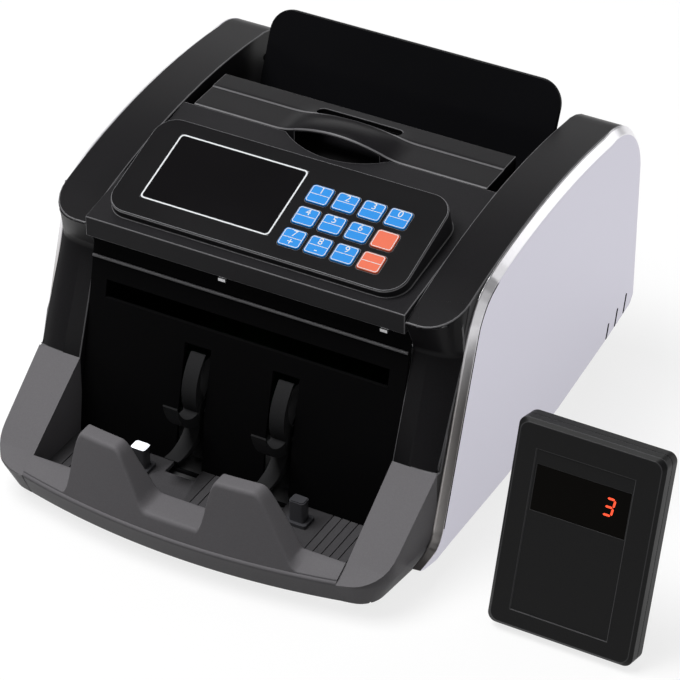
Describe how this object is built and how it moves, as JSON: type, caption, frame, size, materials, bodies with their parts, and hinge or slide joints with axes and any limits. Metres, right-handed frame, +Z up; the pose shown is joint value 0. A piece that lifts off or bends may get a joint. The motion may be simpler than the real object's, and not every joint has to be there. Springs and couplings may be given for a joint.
{
  "type": "banknote counter",
  "caption": "Desktop banknote counter with a rear hopper, sloping keypad panel, feed and drive rollers, vaned stacker wheels, a front stacker pocket and a separate leaning remote display.",
  "frame": {"origin": "middle of the footprint of the counter and its remote display, on the surface that they stand on", "axes": "+X to the right seen from the front, +Y to the back, +Z up"},
  "size_m": [0.375, 0.312, 0.18],
  "materials": {
    "case_black": "fine satin texture",
    "cover_silver": "satin silver paint",
    "tray_grey": "satin moulded texture",
    "tray_floor": "matte moulded",
    "rest_gloss": "polished",
    "overlay_gloss": "smooth printed film",
    "window_dark": "dark tinted, polished",
    "sensor_clear": "clear lens over a dark housing",
    "key_blue": "satin printed",
    "key_red": "satin printed",
    "steel": "plated",
    "rubber": "matte",
    "white_plastic": "moulded",
    "board_green": "solder mask",
    "fitting_black": "moulded",
    "remote_black": "fine satin texture"
  },
  "bodies": {
    "case": {"cheek_left": "case_black", "cheek_right": "case_black", "panel_housing": "case_black", "top_strip": "case_black", "rear_panel": "case_black", "cover_left": "cover_silver", "cover_right": "cover_silver", "front_apron": "tray_grey", "arm_left": "tray_grey", "arm_right": "tray_grey", "stacker_floor": "tray_floor", "pocket_back": "tray_floor", "hopper_floor": "tray_floor", "back_rest": "rest_gloss", "overlay": "overlay_gloss", "display_window": "window_dark", "stack_sensors": "sensor_clear", "chassis": "steel", "frame_left": "steel", "frame_right": "steel", "motor": "steel", "feet": "rubber", "retard_rollers": "rubber", "belts": "rubber", "main_board": "board_green", "power_supply": "board_green", "panel_board": "board_green", "display_module": "board_green", "power_inlet": "fitting_black", "switch_body": "fitting_black", "remote_socket": "fitting_black"},
    "drive_train": {"drive_shaft": "steel", "drive_rollers": "rubber", "drive_pulleys": "white_plastic"},
    "motor_spindle": {"motor_rotor": "steel"},
    "feed_train": {"feed_shaft": "steel", "feed_rollers": "rubber", "feed_pulley": "white_plastic"},
    "stacker_train": {"wheel_shaft": "steel", "stacker_wheels": "rubber", "wheel_pulley": "white_plastic"},
    "pinch_train": {"pinch_rollers": "steel"},
    "gap_knob": {"gap_knob": "fitting_black"},
    "power_rocker": {"power_switch": "fitting_black"},
    "remote_display": {"remote_front": "remote_black", "remote_back": "remote_black", "remote_window": "window_dark", "remote_board": "board_green"},
    "key_1": {"key_1": "key_blue"},
    "key_2": {"key_2": "key_blue"},
    "key_3": {"key_3": "key_blue"},
    "key_4": {"key_4": "key_blue"},
    "key_5": {"key_5": "key_blue"},
    "key_6": {"key_6": "key_blue"},
    "key_7": {"key_7": "key_blue"},
    "key_8": {"key_8": "key_red"},
    "key_9": {"key_9": "key_blue"},
    "key_10": {"key_10": "key_blue"},
    "key_11": {"key_11": "key_blue"},
    "key_12": {"key_12": "key_red"}
  },
  "joints": [
    {"name": "key_1_press", "type": "slide", "parent": "case", "child": "key_1", "axis": [0, 0.3173, -0.9483], "range_m": [0, 0.0008], "stiffness_N_per_m": 700},
    {"name": "key_2_press", "type": "slide", "parent": "case", "child": "key_2", "axis": [0, 0.3173, -0.9483], "range_m": [0, 0.0008], "stiffness_N_per_m": 700},
    {"name": "key_3_press", "type": "slide", "parent": "case", "child": "key_3", "axis": [0, 0.3173, -0.9483], "range_m": [0, 0.0008], "stiffness_N_per_m": 700},
    {"name": "key_4_press", "type": "slide", "parent": "case", "child": "key_4", "axis": [0, 0.3173, -0.9483], "range_m": [0, 0.0008], "stiffness_N_per_m": 700},
    {"name": "key_5_press", "type": "slide", "parent": "case", "child": "key_5", "axis": [0, 0.3173, -0.9483], "range_m": [0, 0.0008], "stiffness_N_per_m": 700},
    {"name": "key_6_press", "type": "slide", "parent": "case", "child": "key_6", "axis": [0, 0.3173, -0.9483], "range_m": [0, 0.0008], "stiffness_N_per_m": 700},
    {"name": "key_7_press", "type": "slide", "parent": "case", "child": "key_7", "axis": [0, 0.3173, -0.9483], "range_m": [0, 0.0008], "stiffness_N_per_m": 700},
    {"name": "key_8_press", "type": "slide", "parent": "case", "child": "key_8", "axis": [0, 0.3173, -0.9483], "range_m": [0, 0.0008], "stiffness_N_per_m": 700},
    {"name": "key_9_press", "type": "slide", "parent": "case", "child": "key_9", "axis": [0, 0.3173, -0.9483], "range_m": [0, 0.0008], "stiffness_N_per_m": 700},
    {"name": "key_10_press", "type": "slide", "parent": "case", "child": "key_10", "axis": [0, 0.3173, -0.9483], "range_m": [0, 0.0008], "stiffness_N_per_m": 700},
    {"name": "key_11_press", "type": "slide", "parent": "case", "child": "key_11", "axis": [0, 0.3173, -0.9483], "range_m": [0, 0.0008], "stiffness_N_per_m": 700},
    {"name": "key_12_press", "type": "slide", "parent": "case", "child": "key_12", "axis": [0, 0.3173, -0.9483], "range_m": [0, 0.0008], "stiffness_N_per_m": 700},
    {"name": "drive_spin", "type": "hinge", "parent": "case", "child": "drive_train", "pos_m": [-0.061, 0.006, 0.1], "axis": [1, 0, 0], "continuous": true},
    {"name": "motor_spin", "type": "hinge", "parent": "case", "child": "motor_spindle", "pos_m": [-0.061, 0.041, 0.04], "axis": [1, 0, 0], "continuous": true},
    {"name": "feed_spin", "type": "hinge", "parent": "case", "child": "feed_train", "pos_m": [-0.061, 0.073, 0.098], "axis": [1, 0, 0], "continuous": true},
    {"name": "stacker_spin", "type": "hinge", "parent": "case", "child": "stacker_train", "pos_m": [-0.061, -0.074, 0.047], "axis": [1, 0, 0], "continuous": true},
    {"name": "pinch_spin", "type": "hinge", "parent": "case", "child": "pinch_train", "pos_m": [-0.061, 0.006, 0.0766], "axis": [1, 0, 0], "continuous": true},
    {"name": "gap_turn", "type": "hinge", "parent": "case", "child": "gap_knob", "pos_m": [-0.061, 0.133, 0.122], "axis": [0, 0, 1], "range_deg": [-180, 180]},
    {"name": "rocker_tip", "type": "hinge", "parent": "case", "child": "power_rocker", "pos_m": [-0.085, 0.1515, 0.045], "axis": [1, 0, 0], "range_deg": [-20, 0]},
    {"name": "remote_lift", "type": "slide", "parent": "case", "child": "remote_display", "axis": [0, 0, 1], "range_m": [0, 0.1]}
  ],
  "couplings": [
    {"joint": "motor_spin", "follows": "drive_spin", "ratio": 2},
    {"joint": "feed_spin", "follows": "drive_spin", "ratio": 0.75},
    {"joint": "stacker_spin", "follows": "drive_spin", "ratio": 1},
    {"joint": "pinch_spin", "follows": "drive_spin", "ratio": -1.5556}
  ]
}
